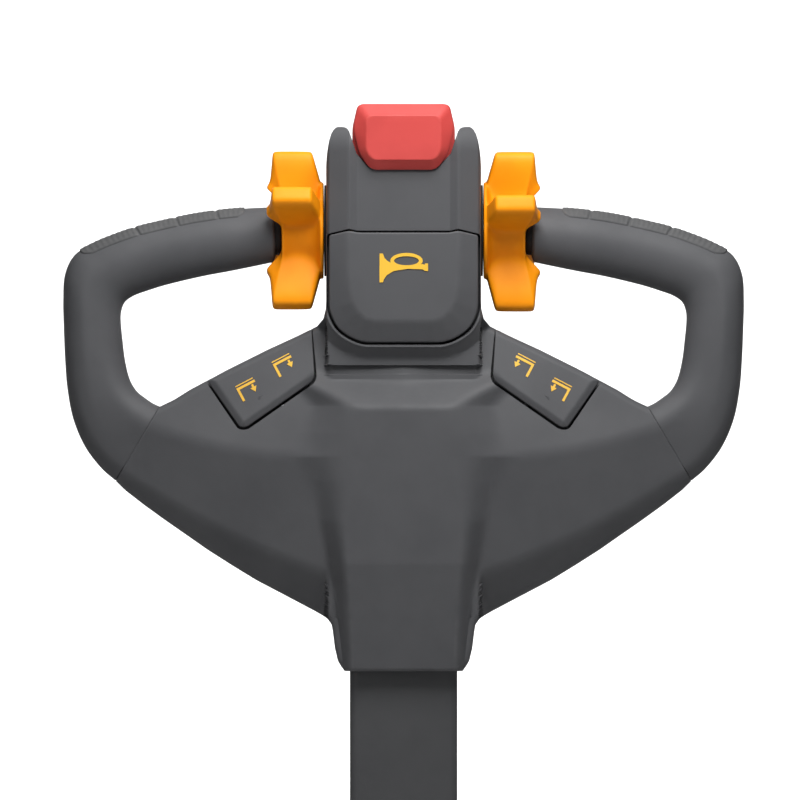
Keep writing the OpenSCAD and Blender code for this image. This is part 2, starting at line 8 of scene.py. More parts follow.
import bmesh
import bpy
import numpy as np
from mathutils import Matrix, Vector


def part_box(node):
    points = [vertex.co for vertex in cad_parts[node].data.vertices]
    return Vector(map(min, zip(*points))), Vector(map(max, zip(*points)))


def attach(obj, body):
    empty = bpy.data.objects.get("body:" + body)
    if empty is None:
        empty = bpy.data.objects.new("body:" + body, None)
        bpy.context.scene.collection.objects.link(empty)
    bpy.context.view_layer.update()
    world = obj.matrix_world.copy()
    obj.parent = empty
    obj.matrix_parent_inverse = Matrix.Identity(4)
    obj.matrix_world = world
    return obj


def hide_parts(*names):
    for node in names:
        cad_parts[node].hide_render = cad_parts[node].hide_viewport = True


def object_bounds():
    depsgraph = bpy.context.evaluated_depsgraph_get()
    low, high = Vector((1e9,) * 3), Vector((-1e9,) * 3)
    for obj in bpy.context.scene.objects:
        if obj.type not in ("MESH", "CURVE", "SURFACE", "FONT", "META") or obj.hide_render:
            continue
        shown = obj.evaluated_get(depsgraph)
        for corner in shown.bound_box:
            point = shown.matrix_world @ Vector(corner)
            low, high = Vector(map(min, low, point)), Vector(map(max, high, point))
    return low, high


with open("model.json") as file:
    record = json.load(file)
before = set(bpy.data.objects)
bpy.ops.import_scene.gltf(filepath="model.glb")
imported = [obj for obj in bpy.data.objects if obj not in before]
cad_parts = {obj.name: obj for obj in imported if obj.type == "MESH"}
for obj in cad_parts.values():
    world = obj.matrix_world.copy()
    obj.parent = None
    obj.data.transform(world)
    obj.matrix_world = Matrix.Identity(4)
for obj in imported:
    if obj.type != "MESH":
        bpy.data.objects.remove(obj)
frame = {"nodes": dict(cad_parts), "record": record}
CAD_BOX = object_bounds()

MM = 0.001
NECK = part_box("front_shell")[0].z / MM
SHAFT_LOW, SHAFT_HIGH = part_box("throttle_shaft")
SHAFT = (SHAFT_LOW.z + SHAFT_HIGH.z) / 2 / MM - NECK
SLOT_OF = {part["node"]: part["material_slot"] for part in frame["record"]["subparts"]}
PAINT = {}


# ---------------------------------------------------------------- small maths

def smooth_min(a, b, soft):
    """The lower of two surfaces, with a round of width soft where they cross."""
    mix = np.clip(0.5 + 0.5 * (b - a) / soft, 0, 1)
    return b * (1 - mix) + a * mix - soft * mix * (1 - mix)


def smooth_max(a, b, soft):
    """The higher of two surfaces, with a fillet of width soft where they cross."""
    return -smooth_min(-a, -b, soft)


def ease(t):
    """0 to 1 with level ends: 3t² - 2t³."""
    t = np.clip(t, 0, 1)
    return t * t * (3 - 2 * t)


def roll(distance, radius):
    """How far a surface has dropped near its edge, as a quarter circle: 1 at the edge, 0 inside."""
    t = np.clip(distance / radius, 0, 1)
    return 1 - np.sqrt(np.clip(1 - (1 - t) ** 2, 0, 1))


def to_line(x, h, line):
    """Distance of each point (x, h) from a chain of straight lines."""
    line = np.asarray(line, float)
    best = np.full(np.shape(x), 1e9)
    for a, b in zip(line[:-1], line[1:]):
        run = b - a
        t = np.clip(((x - a[0]) * run[0] + (h - a[1]) * run[1]) / (run @ run), 0, 1)
        best = np.minimum(best, np.hypot(x - a[0] - t * run[0], h - a[1] - t * run[1]))
    return best


def inside(x, h, ring):
    """True where (x, h) is inside a closed ring: the count of edges crossed to the right is odd."""
    ring = np.asarray(ring, float)
    odd = np.zeros(np.shape(x), bool)
    for a, b in zip(ring, np.roll(ring, -1, 0)):
        if a[1] != b[1]:
            cross = (b[0] - a[0]) * (h - a[1]) / (b[1] - a[1]) + a[0]
            odd ^= ((a[1] > h) != (b[1] > h)) & (x < cross)
    return odd


def rounded(corners, radius, arc=8, run=6):
    """A ring of points round a polygon: each corner becomes a short curve between its two sides,
    each side is cut into equal runs. Rings from polygons with as many corners match point for point."""
    p = np.asarray(corners, float)
    before, after = np.roll(p, 1, 0) - p, np.roll(p, -1, 0) - p
    long_before = np.linalg.norm(before, axis=1, keepdims=True)
    long_after = np.linalg.norm(after, axis=1, keepdims=True)
    cut = np.minimum(np.broadcast_to(np.reshape(radius, (-1, 1)), long_before.shape),
                     0.48 * np.minimum(long_before, long_after))
    a, b = p + before / long_before * cut, p + after / long_after * cut
    t = np.linspace(0, 1, arc)[None, :, None]
    bend = (1 - t) ** 2 * a[:, None] + 2 * t * (1 - t) * p[:, None] + t ** 2 * b[:, None]
    s = np.linspace(0, 1, run + 1)[None, 1:-1, None]
    side = b[:, None] * (1 - s) + np.roll(a, -1, 0)[:, None] * s
    return np.concatenate([bend, side], 1).reshape(-1, 2)


def through(points, count):
    """Points evenly spread in parameter along a smooth curve through the given ones (Catmull-Rom)."""
    p = np.asarray(points, float)
    p = np.concatenate([[2 * p[0] - p[1]], p, [2 * p[-1] - p[-2]]])
    u = np.linspace(0, len(p) - 3 - 1e-9, count)
    i = u.astype(int)
    t = (u - i)[:, None]
    a, b, c, d = p[i], p[i + 1], p[i + 2], p[i + 3]
    return 0.5 * (2 * b + (c - a) * t + (2 * a - 5 * b + 4 * c - d) * t ** 2 + (3 * b - a - 3 * c + d) * t ** 3)


# ---------------------------------------------------------------- meshes

def lattice(rows, cols, close_rows=False):
    """Quads over a lattice of rows × cols points whose columns run round in a ring."""
    r = np.arange(rows if close_rows else rows - 1)[:, None]
    c = np.arange(cols)[None, :]
    up, right = (r + 1) % rows, (c + 1) % cols
    return np.stack([r * cols + c, r * cols + right, up * cols + right, up * cols + c], -1).reshape(-1, 4)


def loft(rings):
    """A closed skin over rings of points, shape (rings, points, 3), with a fan to the middle of each end."""
    rings = np.asarray(rings, float)
    n, m, _ = rings.shape
    points = np.concatenate([rings.reshape(-1, 3), [rings[0].mean(0)], [rings[-1].mean(0)]])
    c = np.arange(m)
    first = np.stack([np.full(m, n * m), (c + 1) % m, c], -1)
    last = np.stack([np.full(m, n * m + 1), (n - 1) * m + c, (n - 1) * m + (c + 1) % m], -1)
    return points, lattice(n, m).tolist() + first.tolist() + last.tolist()


def doughnut(rings):
    """A closed skin over rings of points that come back round to the first ring."""
    rings = np.asarray(rings, float)
    n, m, _ = rings.shape
    return rings.reshape(-1, 3), lattice(n, m, close_rows=True).tolist()


def mirrored(skin):
    """The same skin on the other side of the truck."""
    points, faces = skin
    return points * [-1, 1, 1], [f[::-1] for f in faces]


def place(points):
    """(x, depth, height above the neck) in millimetres to the frame's metres."""
    points = np.asarray(points, float)
    return np.stack([points[:, 0], -points[:, 1], points[:, 2] + NECK], -1) * MM


def mesh_of(name, skins):
    """One mesh from several skins, its doubles merged and its faces turned outwards."""
    points, faces, start = [], [], 0
    for p, f in skins:
        points.append(place(p))
        faces += [[i + start for i in face] for face in f]
        start += len(p)
    mesh = bpy.data.meshes.new(name)
    mesh.from_pydata(np.concatenate(points).tolist(), [], faces)
    tidy(mesh)
    return mesh


def tidy(mesh):
    """Merges doubles, drops empty faces and turns every face outwards."""
    work = bmesh.new()
    work.from_mesh(mesh)
    bmesh.ops.remove_doubles(work, verts=work.verts, dist=4e-6)
    bmesh.ops.dissolve_degenerate(work, edges=work.edges, dist=2e-6)
    bmesh.ops.recalc_face_normals(work, faces=work.faces)
    work.to_mesh(mesh)
    work.free()


def mark_wear(mesh):
    """Stores how sharply each point bulges, 0 to 1: the mean over its edges of twice the edge's drop
    below the point's plane over the edge's length squared, times a 3 mm radius."""
    count, edges = len(mesh.vertices), np.zeros(len(mesh.edges) * 2, np.int32)
    co, no = np.zeros(count * 3), np.zeros(count * 3)
    mesh.vertices.foreach_get("co", co)
    mesh.vertex_normals.foreach_get("vector", no)
    mesh.edges.foreach_get("vertices", edges)
    co, no, edges = co.reshape(-1, 3), no.reshape(-1, 3), edges.reshape(-1, 2)
    total, hits = np.zeros(count), np.zeros(count)
    for a, b in ((0, 1), (1, 0)):
        gap = co[edges[:, a]] - co[edges[:, b]]
        bulge = 2 * np.einsum("ij,ij->i", no[edges[:, a]], gap) / np.maximum((gap ** 2).sum(1), 1e-10)
        np.add.at(total, edges[:, a], np.clip(bulge * 0.003, -1, 1))
        np.add.at(hits, edges[:, a], 1)
    wear = np.clip(total / np.maximum(hits, 1), 0, 1).astype(np.float32)
    attribute = mesh.attributes.new("wear", "FLOAT", "POINT")
    attribute.data.foreach_set("value", wear)


def piece(name, skins, body, slot, stands_for, cutters=(), sharp=38):
    """Builds a piece from skins, cuts the cutters' skins out of it, and puts it on its body."""
    mesh = mesh_of(name, skins)
    obj = bpy.data.objects.new(name, mesh)
    bpy.context.scene.collection.objects.link(obj)
    if cutters:
        tool = bpy.data.objects.new(name + "_cutter", mesh_of(name + "_cutter", cutters))
        bpy.context.scene.collection.objects.link(tool)
        cut = obj.modifiers.new("cut", "BOOLEAN")
        cut.operation, cut.solver, cut.object = "DIFFERENCE", "MANIFOLD", tool
        bpy.context.view_layer.update()
        result = bpy.data.meshes.new_from_object(obj.evaluated_get(bpy.context.evaluated_depsgraph_get()))
        obj.modifiers.clear()
        obj.data = result
        result.name = name
        bpy.data.objects.remove(tool)
        tidy(result)
        mesh = result
    mesh.shade_smooth()
    mesh.set_sharp_from_angle(angle=np.radians(sharp))
    mark_wear(mesh)
    mesh.materials.clear()
    mesh.materials.append(PAINT[slot])
    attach(obj, body)
    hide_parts(*stands_for)
    return obj


# ---------------------------------------------------------------- materials

def new_group(name, inputs, outputs):
    """An empty node group with its sockets, given as (name, kind, value)."""
    group = bpy.data.node_groups.new(name, "ShaderNodeTree")
    for label, kind, value in inputs:
        socket = group.interface.new_socket(name=label, in_out="INPUT", socket_type=kind)
        if value is not None:
            socket.default_value = value
    for label, kind in outputs:
        group.interface.new_socket(name=label, in_out="OUTPUT", socket_type=kind)
    return group, group.nodes.new("NodeGroupInput"), group.nodes.new("NodeGroupOutput")


def maths(tree, operation, a, b=None, clamp=False):
    """A Math node; a and b are sockets or numbers."""
    node = tree.nodes.new("ShaderNodeMath")
    node.operation, node.use_clamp = operation, clamp
    for socket, value in zip(node.inputs, (a, b)):
        if value is None:
            continue
        if isinstance(value, (int, float)):
            socket.default_value = value
        else:
            tree.links.new(value, socket)
    return node.outputs[0]


def noise(tree, where, scale, detail=2.0, roughness=0.5):
    """Noise over a vector socket."""
    node = tree.nodes.new("ShaderNodeTexNoise")
    node.inputs["Detail"].default_value = detail
    node.inputs["Roughness"].default_value = roughness
    tree.links.new(where, node.inputs["Vector"])
    if isinstance(scale, (int, float)):
        node.inputs["Scale"].default_value = scale
    else:
        tree.links.new(scale, node.inputs["Scale"])
    return node.outputs["Fac"]


def build_grain():
    """Moulded grain: fine pits over a slower ripple, as one height."""
    group, given, out = new_group("moulded_grain", [
        ("Where", "NodeSocketVector", None), ("Pits", "NodeSocketFloat", 1700.0),
        ("Ripple", "NodeSocketFloat", 160.0)], [("Height", "NodeSocketFloat")])
    pits = noise(group, given.outputs["Where"], given.outputs["Pits"], 3.0, 0.6)
    ripple = noise(group, given.outputs["Where"], given.outputs["Ripple"], 1.0, 0.4)
    height = maths(group, "ADD", maths(group, "MULTIPLY", pits, 0.7), maths(group, "MULTIPLY", ripple, 0.45))
    group.links.new(height, out.inputs["Height"])
    return group


def build_handling():
    """Handling: broad uneven patches where hands and cloths have passed, as a mask."""
    group, given, out = new_group("handling", [
        ("Where", "NodeSocketVector", None), ("Size", "NodeSocketFloat", 22.0)], [("Mask", "NodeSocketFloat")])
    broad = noise(group, given.outputs["Where"], given.outputs["Size"], 4.0, 0.55)
    steep = maths(group, "MULTIPLY", maths(group, "SUBTRACT", broad, 0.42), 4.0, clamp=True)
    group.links.new(steep, out.inputs["Mask"])
    return group


def build_rub():
    """Rubbed edges: the mesh's stored wear, broken up by noise, as a mask."""
    group, given, out = new_group("rubbed_edges", [
        ("Where", "NodeSocketVector", None), ("Wear", "NodeSocketFloat", 0.0),
        ("Strength", "NodeSocketFloat", 1.0)], [("Mask", "NodeSocketFloat")])
    patchy = noise(group, given.outputs["Where"], 95.0, 5.0, 0.65)
    broken = maths(group, "MULTIPLY", maths(group, "SUBTRACT", patchy, 0.35), 2.6, clamp=True)
    mask = maths(group, "MULTIPLY", maths(group, "MULTIPLY", broken, given.outputs["Wear"]),
                 given.outputs["Strength"], clamp=True)
    group.links.new(mask, out.inputs["Mask"])
    return group


def build_dust():
    """Dust: settles on what faces up, thinned by fine noise, as a mask."""
    group, given, out = new_group("settled_dust", [
        ("Where", "NodeSocketVector", None), ("Normal", "NodeSocketVector", None),
        ("Amount", "NodeSocketFloat", 0.5)], [("Mask", "NodeSocketFloat")])
    split = group.nodes.new("ShaderNodeSeparateXYZ")
    group.links.new(given.outputs["Normal"], split.inputs[0])
    upward = maths(group, "MULTIPLY", maths(group, "SUBTRACT", split.outputs["Z"], 0.15), 1.2, clamp=True)
    specks = noise(group, given.outputs["Where"], 420.0, 6.0, 0.7)
    settled = maths(group, "MULTIPLY", upward, specks)
    mask = maths(group, "MULTIPLY", settled, given.outputs["Amount"], clamp=True)
    group.links.new(mask, out.inputs["Mask"])
    return group


def build_brushing():
    """Brushing: long thin scratches, from noise stretched along the piece's height, as a height."""
    group, given, out = new_group("brushing", [
        ("Where", "NodeSocketVector", None), ("Scale", "NodeSocketFloat", 900.0)],
        [("Height", "NodeSocketFloat")])
    stretch = group.nodes.new("ShaderNodeVectorMath")
    stretch.operation = "MULTIPLY"
    stretch.inputs[1].default_value = (1.0, 1.0, 0.04)
    group.links.new(given.outputs["Where"], stretch.inputs[0])
    group.links.new(noise(group, stretch.outputs[0], given.outputs["Scale"], 3.0, 0.6), out.inputs["Height"])
    return group


GRAIN, HANDLING, RUB, DUST, BRUSHING = (
    build_grain(), build_handling(), build_rub(), build_dust(), build_brushing())


def blend_colour(tree, mask, a, b):
    """Colour a to colour b by a mask; each is a socket or a colour."""
    node = tree.nodes.new("ShaderNodeMix")
    node.data_type = "RGBA"
    tree.links.new(mask, node.inputs[0])
    for socket, value in ((node.inputs[6], a), (node.inputs[7], b)):
        if isinstance(value, tuple):
            socket.default_value = (*value, 1.0)
        else:
            tree.links.new(value, socket)
    return node.outputs[2]


def finish_of(name, colour, shade, rubbed, rough, rough_swing, bump, pits=1700.0, ripple=160.0, metal=0.0,
              rub=0.5, dust=0.15, dust_colour=(0.42, 0.41, 0.39), coat=0.0, specular=0.5, brushed=False,
              patch=22.0, depth=0.00012):
    """A solid finish: the colour shifts to shade in handled patches and to rubbed on worn edges, dust lies
    on top, roughness swings with the patches, and the grain or the brushing gives the bump."""
    material = bpy.data.materials.new(name)
    material.use_nodes = True
    tree = material.node_tree
    shader = tree.nodes["Principled BSDF"]
    where = tree.nodes.new("ShaderNodeTexCoord").outputs["Object"]
    normal = tree.nodes.new("ShaderNodeNewGeometry").outputs["Normal"]
    worn = tree.nodes.new("ShaderNodeAttribute")
    worn.attribute_name = "wear"

    def use(group, **values):
        node = tree.nodes.new("ShaderNodeGroup")
        node.node_tree = group
        tree.links.new(where, node.inputs["Where"])
        for label, value in values.items():
            if isinstance(value, (int, float)):
                node.inputs[label].default_value = value
            else:
                tree.links.new(value, node.inputs[label])
        return node.outputs[0]

    patches = use(HANDLING, Size=patch)
    edges = use(RUB, Wear=worn.outputs["Fac"], Strength=rub)
    film = use(DUST, Normal=normal, Amount=dust)
    height = use(BRUSHING, Scale=pits) if brushed else use(GRAIN, Pits=pits, Ripple=ripple)
    base = blend_colour(tree, patches, colour, shade)
    base = blend_colour(tree, edges, base, rubbed)
    base = blend_colour(tree, film, base, dust_colour)
    tree.links.new(base, shader.inputs["Base Color"])
    swing = maths(tree, "ADD", maths(tree, "MULTIPLY", patches, rough_swing), rough)
    swing = maths(tree, "SUBTRACT", swing, maths(tree, "MULTIPLY", edges, 0.12))
    swing = maths(tree, "ADD", swing, maths(tree, "MULTIPLY", film, 0.25), clamp=True)
    tree.links.new(swing, shader.inputs["Roughness"])
    bumper = tree.nodes.new("ShaderNodeBump")
    bumper.inputs["Strength"].default_value = bump
    bumper.inputs["Distance"].default_value = depth
    tree.links.new(height, bumper.inputs["Height"])
    tree.links.new(bumper.outputs["Normal"], shader.inputs["Normal"])
    shader.inputs["Metallic"].default_value = metal
    shader.inputs["Coat Weight"].default_value = coat
    shader.inputs["Coat Roughness"].default_value = 0.25
    shader.inputs["Specular IOR Level"].default_value = specular
    PAINT[name] = material


def make_finishes():
    """One finish for each material slot of the record."""
    finish_of("housing", (0.079, 0.080, 0.085), (0.070, 0.071, 0.076), (0.125, 0.125, 0.128), 0.56, 0.07, 0.5,
              dust=0.05, specular=0.25)
    finish_of("soft_insert", (0.066, 0.067, 0.070), (0.056, 0.057, 0.060), (0.11, 0.11, 0.112), 0.68, 0.06, 0.8,
              pits=1100.0, ripple=300.0, specular=0.35)
    finish_of("throttle_plastic", (0.95, 0.31, 0.002), (0.88, 0.27, 0.001), (1.0, 0.42, 0.03), 0.52, 0.06, 0.3,
              ripple=90.0, rub=0.3, dust=0.02, patch=30.0, specular=0.2)
    finish_of("button_plastic", (0.53, 0.058, 0.052), (0.47, 0.047, 0.042), (0.74, 0.13, 0.11), 0.5, 0.06, 0.3,
              ripple=90.0, rub=0.4, dust=0.03, patch=30.0, specular=0.3)
    finish_of("mark_ink", (0.80, 0.47, 0.035), (0.70, 0.39, 0.025), (0.85, 0.6, 0.2), 0.5, 0.08, 0.3, dust=0.05)
    finish_of("arm_paint", (0.064, 0.065, 0.068), (0.056, 0.057, 0.060), (0.14, 0.14, 0.142), 0.5, 0.06, 0.55,
              pits=620.0, ripple=120.0, coat=0.04, rub=0.6, specular=0.25)
    finish_of("cast_frame", (0.55, 0.56, 0.58), (0.47, 0.48, 0.50), (0.7, 0.7, 0.72), 0.48, 0.1, 0.9,
              pits=500.0, metal=1.0, dust=0.05)
    finish_of("steel", (0.46, 0.46, 0.48), (0.40, 0.40, 0.42), (0.6, 0.6, 0.62), 0.24, 0.1, 0.25,
              pits=900.0, metal=1.0, dust=0.0, brushed=True)
    finish_of("screw_steel", (0.30, 0.30, 0.31), (0.22, 0.22, 0.23), (0.5, 0.5, 0.5), 0.34, 0.1, 0.3,
              pits=1500.0, metal=1.0, dust=0.05)
    finish_of("spring_steel", (0.5, 0.5, 0.52), (0.42, 0.42, 0.44), (0.6, 0.6, 0.62), 0.28, 0.08, 0.2,
              pits=1500.0, metal=1.0, dust=0.0, brushed=True)
    finish_of("bearing_bronze", (0.52, 0.31, 0.12), (0.42, 0.24, 0.09), (0.7, 0.46, 0.22), 0.42, 0.1, 0.6,
              pits=1900.0, metal=1.0, dust=0.0)
    finish_of("seal_rubber", (0.014, 0.014, 0.015), (0.010, 0.010, 0.011), (0.03, 0.03, 0.03), 0.72, 0.08, 0.5,
              pits=1400.0, specular=0.3)
    finish_of("inner_plastic", (0.022, 0.022, 0.024), (0.017, 0.017, 0.018), (0.05, 0.05, 0.05), 0.56,
              0.08, 0.5)
    finish_of("circuit_board", (0.012, 0.10, 0.045), (0.010, 0.075, 0.034), (0.2, 0.2, 0.1), 0.3, 0.1, 0.2,
              ripple=700.0, coat=0.3)
    finish_of("magnet", (0.5, 0.5, 0.52), (0.44, 0.44, 0.46), (0.6, 0.6, 0.62), 0.16, 0.06, 0.15,
              metal=1.0, dust=0.0)


# ---------------------------------------------------------------- head: outline and depth

OUTLINE = [(33, 0), (34.9, 2.6), (36.7, 5.6), (38.4, 13), (39.5, 22), (40.2, 26), (42.6, 29.2),
           (50.7, 33.6), (66.6, 42), (82.6, 50.4), (96.3, 58.8), (109.5, 67.2), (121.5, 75.6),
           (133.6, 84), (145.2, 92.4), (156, 100.8), (161, 105.8)]
HAND_EDGE = [(136.4, 147.5), (128.5, 151.2), (119.6, 156.8), (98.8, 168), (76.4, 179.2), (56, 188.6),
             (48.4, 192.4), (44.8, 196.5), (43.4, 202)]
CONSOLE = 43.2
SEAM_TOP = 243.6
ROCKER = [(109.8, 162.1), (91.4, 136), (87.6, 136), (49.6, 162.4), (51.4, 190.9)]
HAND_SIDE = [ROCKER[4], ROCKER[0]]
PANEL_RISE = 1.7     # how proud a rocker panel stands
POCKET_GAP = 1.4
HAND_ROUND = 3.0     # edge round of a rocker panel along the hand opening
FACET_FALL, FACET_TURN = 0.2503, 0.0893
HORN_HALF = [(22.5, 183.3), (30.2, 186.3), (37.0, 191.4), (41.5, 200.5), (41.5, 242.9), (30.2, 245.5),
             (25.8, 244.4)]
HORN_RING = rounded(HORN_HALF + [(-x, h) for x, h in HORN_HALF[::-1]],
                    [10, 6, 8, 9, 1.6, 3, 3, 3, 3, 1.6, 9, 8, 6, 10], arc=8, run=9)


def facet(x, h):
    """Depth of the wing's upper facet: a plane that falls outwards and upwards."""
    return 34 - FACET_TURN * (np.abs(x) - 30) - FACET_FALL * (h - 118)


def ridge_height(x):
    """The ridge across the wing, rising as the square of the distance out."""
    return 120.2 + 0.0020 * np.clip(x - 50, 0, None) ** 2


def wing_front(x, h):
    """Depth of the wing's front: the facet above the ridge, a near-upright face below it, and a steep
    underside below the crease, the lowest of the three with soft edges."""
    x = np.abs(x)
    ridge = ridge_height(x)
    crease = 54.9 + 0.33 * (x - 45.6) + 0.0015 * np.clip(x - 45.6, 0, None) ** 2
    at_ridge = facet(x, ridge)
    at_crease = 24.5 - 0.092 * (x - 30)
    slope = (at_ridge - at_crease) / (ridge - crease)
    face = at_ridge - slope * (ridge - h)
    under = at_crease - 0.78 * (crease - h)
    return smooth_min(smooth_min(facet(x, h), face, 1.6), under, 3.0)


def collar(x, h):
    """Depth of the rim round the horn panel, by the distance outside the panel; low behind it."""
    closed = np.concatenate([HORN_RING, HORN_RING[:1]])
    outside = np.where(inside(x, h, HORN_RING), 0, to_line(x, h, closed))
    return np.interp(outside, [0, 1.0, 1.3, 2.6, 3.6, 9], [24, 24, 31.5, 31.8, 30.5, 25.6])


def spine_front(x, h):
    """Depth of the middle: a near-upright face with the bonnet's sloping top, and side facets that fall
    away from it at a slope given for each height."""
    x = np.abs(x)
    face = np.interp(h, [0, 28, 60, 140, 200], [30, 33.5, 38, 39.4, 39.4])
    bevel = 39.4 - 1.02 * (h - 147.5)
    floor = np.where(h > 170.5, 25.6, np.where(h > 165.6, 22.4, 24.2))
    top = smooth_min(face, bevel, 2.4)
    edge = np.interp(h, [0, 45, 84, 133, 150, 165, 250], [30.0, 31.6, 35.2, 32.4, 28.5, 27.5, 27.5])
    slope = np.interp(h, [0, 30, 55, 73, 88, 106, 120, 130, 148, 168, 192, 250],
                      [1.75, 1.7, 1.6, 1.25, 0.93, 0.55, 0.34, 0.46, 0.70, 0.42, 0.5, 0.5])
    side = face - slope * (x - edge)
    low = smooth_min(top, side, 4.0)
    low = np.maximum(low, np.where(x < 43.0, floor - 0.75 * np.clip(x - 40.5, 0, None), 0))
    rim = collar(x, h)
    return np.where((h > 171) & (x < 43.0), np.where(rim < 24.5, rim, np.maximum(low, rim)), low)


def front_depth(x, h):
    """Depth of the head's front: the wing and the middle, whichever stands further out, with a fillet."""
    spine = spine_front(x, h)
    joined = smooth_max(wing_front(x, h), spine, 2.2)
    console = ease((h - 190) / 8)
    flat = collar(x, h) - 2.5 * roll(CONSOLE - np.abs(x), 0.6)
    return joined * (1 - console) + flat * console


def back_depth(x, h):
    """Depth of the head's back: a deep middle with sloping sides, and wings that swell from the rim."""
    x = np.abs(x)
    middle = np.interp(h, [0, 60, 250], [29, 33, 33])
    middle = smooth_min(middle, 20.5 + 1.1 * (57 - x), 5)
    low_edge = np.interp(x, [p[0] for p in OUTLINE], [p[1] for p in OUTLINE])
    top_edge = np.interp(x, [p[0] for p in HAND_EDGE[::-1]], [p[1] for p in HAND_EDGE[::-1]])
    above = 6 + 0.24 * (h - low_edge)
    below = 6 + 0.62 * (top_edge - h)
    swell = smooth_min(smooth_min(above, below, 9), 31 - 0.124 * (x - 30), 8)
    swell = np.where((h > 192) | (h < 30), 4, swell)
    return smooth_max(np.clip(swell, 4, None), middle, 3.0)


def half_width(h):
    """Half the head's width at a height: its outer edge up to the grip's seam, then the hand edge."""
    line = OUTLINE + HAND_EDGE + [(CONSOLE, 206), (CONSOLE, SEAM_TOP)]
    return np.interp(h, [p[1] for p in line], [p[0] for p in line])


def head_half(depth, edge_radius, split):
    """Half of the head's shell: one ring for each height, which runs across the face in points crowded
    towards both edges, down the side, with a small step at the parting line, and straight back behind."""
    bends = [0.12, 0.35, 0.7, 1.1, 1.6, 2.2, 28, 28.6, 105.8, 147.5, 163, 164.8, 165.4, 165.8, 166.3,
             170.3, 170.7, 171.2, SEAM_TOP - 0.5, SEAM_TOP - 0.2]
    heights = np.concatenate([np.linspace(0, SEAM_TOP, 200), np.arange(178, 204, 0.4), bends])
    heights = np.unique(np.round(heights, 3))
    spread = np.sin(np.pi / 2 * np.linspace(-1, 1, 231))
    h = heights[:, None] + 0 * spread[None, :]
    wide = half_width(heights)[:, None]
    x = wide * spread[None, :]
    soft = to_line(np.abs(x), h, OUTLINE)
    hand = to_line(np.abs(x), h, HAND_EDGE)
    seam = to_line(np.abs(x), h, [OUTLINE[-1], HAND_EDGE[0]])
    drop = np.maximum(edge_radius * roll(soft, edge_radius), edge_radius * roll(hand, edge_radius))
    drop = np.maximum(drop, 0.7 * roll(seam, 0.7))
    drop = np.maximum(drop, 2.2 * roll(h, 2.2))
    drop = np.maximum(drop, 0.5 * roll(SEAM_TOP - h, 0.5))
    d = depth(x, h) - drop
    face = np.stack([x, d, h], -1)

    def wall(side):
        edge_x, edge_d, edge_h = x[:, side], d[:, side], heights
        out = np.sign(edge_x)
        steps = [(0, lambda e: e * 0.6 + split * 0.4 + 0.3), (0, lambda e: split + 0.9 + 0 * e),
                 (0.55, lambda e: split + 0.3 + 0 * e), (0.7, lambda e: split + 0 * e)]
        rows = [np.stack([edge_x - out * inset, to(edge_d), edge_h], -1) for inset, to in steps]
        return np.stack(rows, 1)

    right, left = wall(-1), wall(0)
    across = np.linspace(1, -1, 9)[1:-1]
    back = np.stack([(wide - 0.7) * across, split + 0 * wide * across, heights[:, None] + 0 * across], -1)
    return loft(np.concatenate([face, right, back, left[:, ::-1]], 1))


def flipped(skin):
    """A skin with its depth turned round, so that it becomes the back."""
    points, faces = skin
    return points * [1, -1, 1], [f[::-1] for f in faces]


def prism(ring, low, high):
    """A straight block over a ring, between two depths (numbers or one value for each point)."""
    ring = np.asarray(ring, float)
    ends = [np.stack([ring[:, 0], np.broadcast_to(d, len(ring)), ring[:, 1]], -1) for d in (low, high)]
    return loft(np.stack(ends))


def grown(corners, by):
    """A polygon with every side moved outwards by a distance, for corners listed clockwise or not."""
    p = np.asarray(corners, float)
    turn = np.sign(np.sum(p[:, 0] * np.roll(p[:, 1], -1) - np.roll(p[:, 0], -1) * p[:, 1]))
    def normal(v):
        n = np.stack([v[:, 1], -v[:, 0]], -1) * turn
        return n / np.linalg.norm(n, axis=1, keepdims=True)
    before, after = normal(p - np.roll(p, 1, 0)), normal(np.roll(p, -1, 0) - p)
    return p + by * (before + after) / (1 + np.sum(before * after, 1, keepdims=True))


def disc_y(x, h, radius, low, high, count=40):
    """A round bar along the depth."""
    a = np.linspace(0, 2 * np.pi, count, endpoint=False)
    return prism(np.stack([x + radius * np.cos(a), h + radius * np.sin(a)], -1), low, high)


def build_shells():
    """Both halves of the head, with the rocker pockets, the neck's socket and the screw recesses cut."""
    pocket = grown(ROCKER, POCKET_GAP)
    pocket[[0, 4]] += [1.3, 2.7]
    pocket = rounded(pocket, [0.5, 4.2, 4.2, 4.2, 0.5])
    floor = facet(pocket[:, 0], pocket[:, 1]) - 9.8
    pocket_right = prism(pocket, floor, 60)
    socket = rounded([(-30.4, -20.4), (30.4, -20.4), (30.4, 20.4), (-30.4, 20.4)], 5)
    socket_skin = loft(np.stack([np.stack([socket[:, 0], socket[:, 1], 0 * socket[:, 0] + h], -1)
                                 for h in (-3.0, 5.2)]))
    piece("head_front", [head_half(front_depth, 3.4, 0.2)], "head", "housing", ["front_shell"],
          [pocket_right, mirrored(pocket_right), socket_skin])
    screws = ((36.5, 34, 27.6), (100, 80, 7.4), (36, 178, 29.6))
    recesses = [disc_y(x, h, 4.0, -60, -seat) for x, h, seat in screws]
    recesses += [mirrored(r) for r in recesses]
    upper = flipped(console_half(back_console, 0.2, lambda x: SEAM_TOP + 0 * x))
    cover_holes = [disc_y(36.5, 274, 3.1, -60, -24.8)]
    cover_holes += [mirrored(c) for c in cover_holes]
    piece("head_back", [flipped(head_half(back_depth, 5.0, 0.2)), upper], "head", "housing", ["back_shell"],
          recesses + cover_holes + [socket_skin, flipped(well())])


# ---------------------------------------------------------------- console cover

